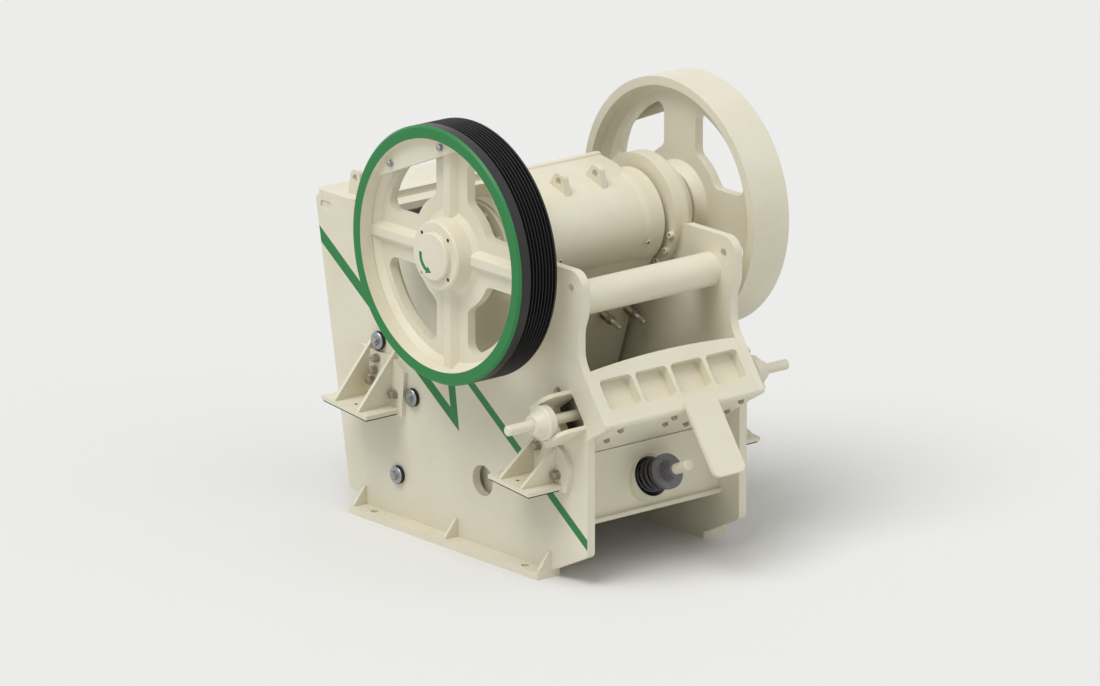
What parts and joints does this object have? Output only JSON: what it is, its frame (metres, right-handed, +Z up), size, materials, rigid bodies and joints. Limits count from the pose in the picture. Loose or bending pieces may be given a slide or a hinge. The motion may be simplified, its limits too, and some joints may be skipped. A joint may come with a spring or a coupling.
{
  "type": "stationary jaw crusher",
  "caption": "Single-toggle jaw crusher on two bolted feet: welded side plates, swing jaw on an eccentric shaft and spoked flywheels.",
  "frame": {"origin": "centre of the four anchor-bolt holes, on the underside of the feet", "axes": "+X along the shaft towards the plain flywheel, +Y towards the feed end, +Z up"},
  "size_m": [2.314, 3.1665, 2.867],
  "materials": {
    "cream_paint": "semi-gloss machine enamel",
    "manganese_steel": "worn cast manganese steel",
    "zinc_steel": "zinc-plated",
    "black_spring_steel": "black painted spring",
    "rubber": "matt"
  },
  "bodies": {
    "frame": {"adjuster_shelves_left": "cream_paint", "adjuster_shelves_right": "cream_paint", "adjusting_wedge_left": "cream_paint", "adjusting_wedge_right": "cream_paint", "bearing_cover_left": "cream_paint", "bearing_cover_right": "cream_paint", "bearing_housing_left": "cream_paint", "bearing_housing_right": "cream_paint", "cheek_plate_left": "manganese_steel", "cheek_plate_right": "manganese_steel", "cross_tube": "cream_paint", "fixed_jaw_clamp": "cream_paint", "fixed_jaw_plate": "manganese_steel", "foot_left": "cream_paint", "foot_right": "cream_paint", "front_bracket_left": "cream_paint", "front_bracket_pad_left": "rubber", "front_bracket_pad_right": "rubber", "front_bracket_right": "cream_paint", "front_wall": "cream_paint", "liner_bolts_left": "zinc_steel", "liner_bolts_right": "zinc_steel", "rear_bracket_left": "cream_paint", "rear_bracket_pad_left": "rubber", "rear_bracket_pad_right": "rubber", "rear_bracket_right": "cream_paint", "rear_guard_plate": "cream_paint", "rear_wall": "cream_paint", "rod_nut": "zinc_steel", "setting_cylinder_left": "cream_paint", "setting_cylinder_right": "cream_paint", "side_plate_left": "cream_paint", "side_plate_right": "cream_paint", "spring_pocket": "cream_paint", "spring_washer": "zinc_steel", "tension_rod": "cream_paint", "tension_spring": "black_spring_steel", "toggle_beam": "cream_paint", "toggle_plate": "cream_paint", "toggle_seat": "cream_paint", "top_cap": "cream_paint"},
    "rotor": {"eccentric_shaft": "zinc_steel", "drive_flywheel": "cream_paint", "plain_flywheel": "cream_paint", "counterweight_left": "cream_paint", "counterweight_right": "cream_paint", "hub_cap_left": "cream_paint", "hub_cap_right": "cream_paint"},
    "pitman": {"pitman": "cream_paint", "swing_jaw_plate": "manganese_steel", "swing_jaw_clamp": "cream_paint", "jaw_bolts": "zinc_steel"}
  },
  "joints": [
    {"name": "shaft_spin", "type": "hinge", "parent": "frame", "child": "rotor", "pos_m": [0, -0.338, 2.042], "axis": [1, 0, 0], "continuous": true},
    {"name": "pitman_swing", "type": "hinge", "parent": "rotor", "child": "pitman", "pos_m": [0, -0.34407, 2.0272], "axis": [1, 0, 0], "continuous": true}
  ],
  "couplings": [
    {"joint": "pitman_swing", "follows": "shaft_spin", "ratio": -1}
  ]
}
